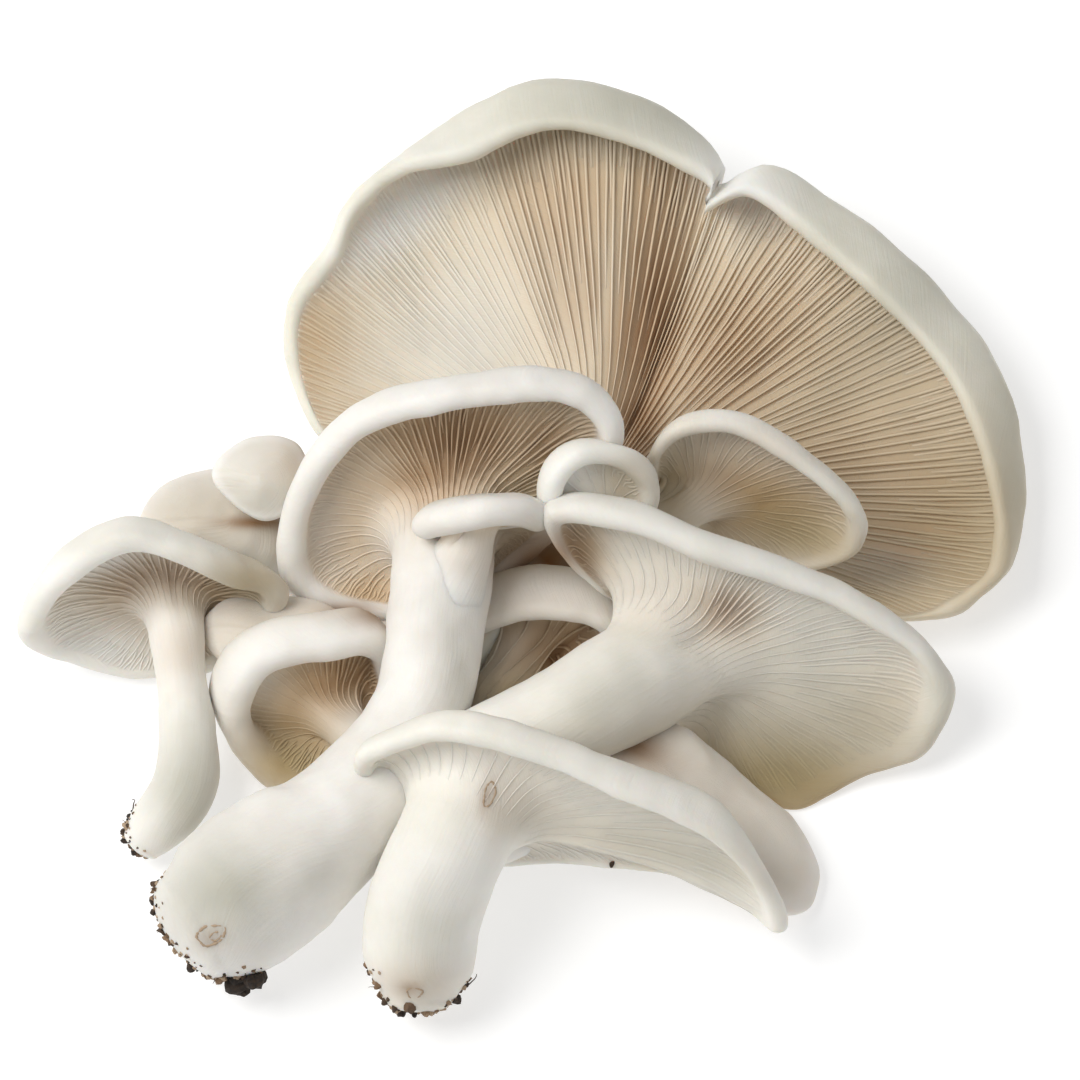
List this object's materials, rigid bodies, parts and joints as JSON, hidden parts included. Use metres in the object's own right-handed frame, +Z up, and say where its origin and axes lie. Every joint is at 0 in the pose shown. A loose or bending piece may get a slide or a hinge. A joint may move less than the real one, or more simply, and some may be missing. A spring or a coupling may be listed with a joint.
{
  "type": "oyster mushroom cluster",
  "caption": "Cluster of oyster mushrooms lying on its back, gills up: broad fan cap, curved stems, rolled lips, small caps in the gaps and dark crumbs on the cut feet.",
  "frame": {"origin": "on the table plane under the middle of the cluster's box", "axes": "+Z up from the table, +X to the right across the cluster, +Y from the cut feet toward the broad fan"},
  "size_m": [0.1614, 0.1559, 0.0468],
  "materials": {
    "fan_flesh": "soft matte, cream to tan, with brown between the gills",
    "white_flesh": "smooth satin, near white with warm grey shade",
    "cream_flesh": "smooth satin, cream with tan gills",
    "growing_medium": "dry, rough and crumbly, black to brown"
  },
  "bodies": {
    "root": {"mushroom_back_fan": "fan_flesh", "mushroom_main_trunk": "white_flesh", "mushroom_right_funnel": "cream_flesh", "mushroom_front_low": "cream_flesh", "mushroom_left_edge": "cream_flesh", "mushroom_low_right": "white_flesh", "mushroom_right_small": "cream_flesh", "mushroom_centre_button": "cream_flesh", "mushroom_centre_bud": "white_flesh", "mushroom_inner": "white_flesh", "mushroom_left_curl": "white_flesh", "mushroom_left_button": "white_flesh", "mushroom_upper_left_large": "white_flesh", "mushroom_upper_left_small": "white_flesh", "crumbs_main_foot": "growing_medium", "crumbs_front_foot": "growing_medium", "crumbs_left_foot": "growing_medium"}
  },
  "joints": []
}
